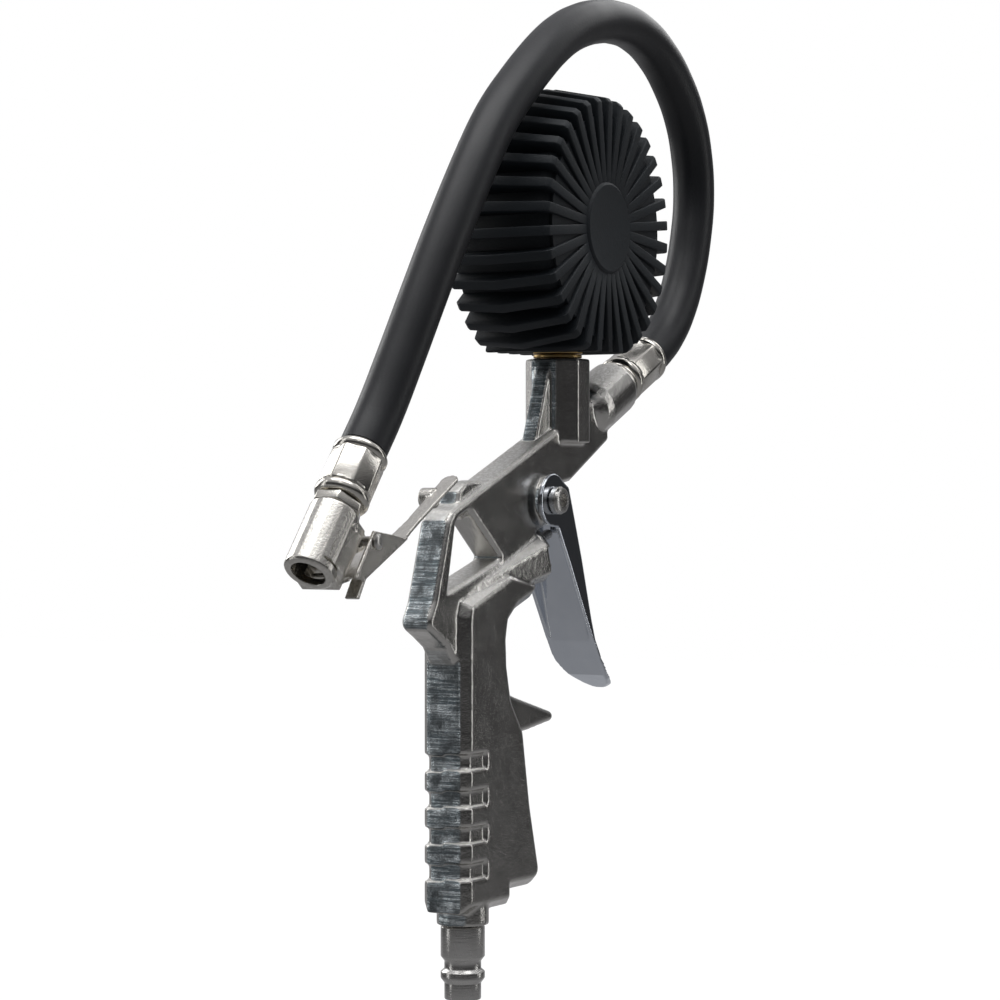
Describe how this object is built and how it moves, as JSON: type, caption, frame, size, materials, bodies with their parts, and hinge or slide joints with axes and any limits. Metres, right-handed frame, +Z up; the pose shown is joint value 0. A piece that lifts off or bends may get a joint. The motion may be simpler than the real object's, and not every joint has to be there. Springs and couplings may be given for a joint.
{
  "type": "tyre inflator",
  "caption": "Hand-held tyre inflator with a lever trigger, a round gauge in a ribbed rubber boot, and a hose with a clip-on chuck",
  "frame": {"origin": "centre of the open lower end of the air inlet nipple, which points straight down", "axes": "+Z up along the nipple and grip, +X forward from the grip towards the trigger and the hose port, +Y towards the side that the gauge dial faces"},
  "size_m": [0.2274, 0.0328, 0.2821],
  "materials": {
    "nickel_casting": "nickel plate over a ground die casting, with fine draw lines",
    "nickel_fitting": "bright nickel plate on turned and stamped fittings",
    "lever_chrome": "mirror chrome on a stamped sheet",
    "turned_steel": "zinc-plated turned steel",
    "brass": "plain machined brass",
    "boot_rubber": "matt black moulded rubber with a bluish tint",
    "hose_rubber": "smooth black rubber with a soft sheen",
    "seal_rubber": "moulded nitrile",
    "gauge_glass": "clear flat lens",
    "dial_white": "white painted dial with printed marks",
    "pointer_black": "black painted needle"
  },
  "bodies": {
    "gun": {"body_casting": "nickel_casting", "inlet_nipple": "turned_steel", "valve_seat": "brass", "gland_o_ring": "seal_rubber", "valve_gland_nut": "nickel_casting", "valve_spring": "turned_steel", "pivot_bolt": "turned_steel", "pivot_nut": "turned_steel", "gauge_case": "nickel_casting", "gauge_lens": "gauge_glass", "gauge_bezel": "nickel_casting", "gauge_dial": "dial_white", "gauge_boot": "boot_rubber", "gauge_socket": "brass", "socket_washer": "brass", "bourdon_tube": "brass", "movement_rear_plate": "brass", "movement_front_plate": "brass", "hose_tail": "nickel_fitting", "head_ferrule": "nickel_fitting", "hose": "hose_rubber", "chuck_ferrule": "nickel_fitting", "chuck_tail": "nickel_fitting", "chuck_body": "nickel_fitting", "depressor_pin": "brass", "chuck_seal": "seal_rubber", "clip_pin": "turned_steel", "clip_spring": "turned_steel"},
    "trigger": {"trigger_lever": "lever_chrome"},
    "valve": {"valve_stem": "turned_steel", "valve_seal": "seal_rubber"},
    "clip": {"clip_lever": "nickel_fitting"},
    "needle": {"pointer": "pointer_black", "pinion_arbor": "brass"},
    "sector": {"sector_gear": "brass"},
    "link": {"tube_link": "turned_steel"}
  },
  "joints": [
    {"name": "trigger_pivot", "type": "hinge", "parent": "gun", "child": "trigger", "pos_m": [0.0373, 0, 0.135], "axis": [0, 1, 0], "range_deg": [0, 16], "stiffness_Nm_per_rad": 0.5, "springref_deg": -20.05},
    {"name": "valve_slide", "type": "slide", "parent": "gun", "child": "valve", "axis": [-0.9563, 0, -0.2924], "range_m": [0, 0.0034], "deforming": ["valve_spring"]},
    {"name": "clip_pivot", "type": "hinge", "parent": "gun", "child": "clip", "pos_m": [-0.05614, 0, 0.12496], "axis": [0, -1, 0], "range_deg": [0, 25], "stiffness_Nm_per_rad": 0.3, "springref_deg": -17.19, "deforming": ["clip_spring"]},
    {"name": "needle_turn", "type": "hinge", "parent": "gun", "child": "needle", "pos_m": [0.0532, 0, 0.2122], "axis": [0, -1, 0], "range_deg": [0, 270]},
    {"name": "sector_turn", "type": "hinge", "parent": "gun", "child": "sector", "pos_m": [0.0532, 0, 0.196], "axis": [0, 1, 0], "range_deg": [0, 28.2]},
    {"name": "link_turn", "type": "hinge", "parent": "sector", "child": "link", "pos_m": [0.04544, 0, 0.19406], "axis": [0, 1, 0], "range_deg": [-28.2, 0]}
  ],
  "couplings": [
    {"joint": "valve_slide", "follows": "trigger_pivot", "m_per_rad": 0.0118},
    {"joint": "sector_turn", "follows": "needle_turn", "ratio": 0.10417},
    {"joint": "link_turn", "follows": "needle_turn", "ratio": -0.10417}
  ]
}
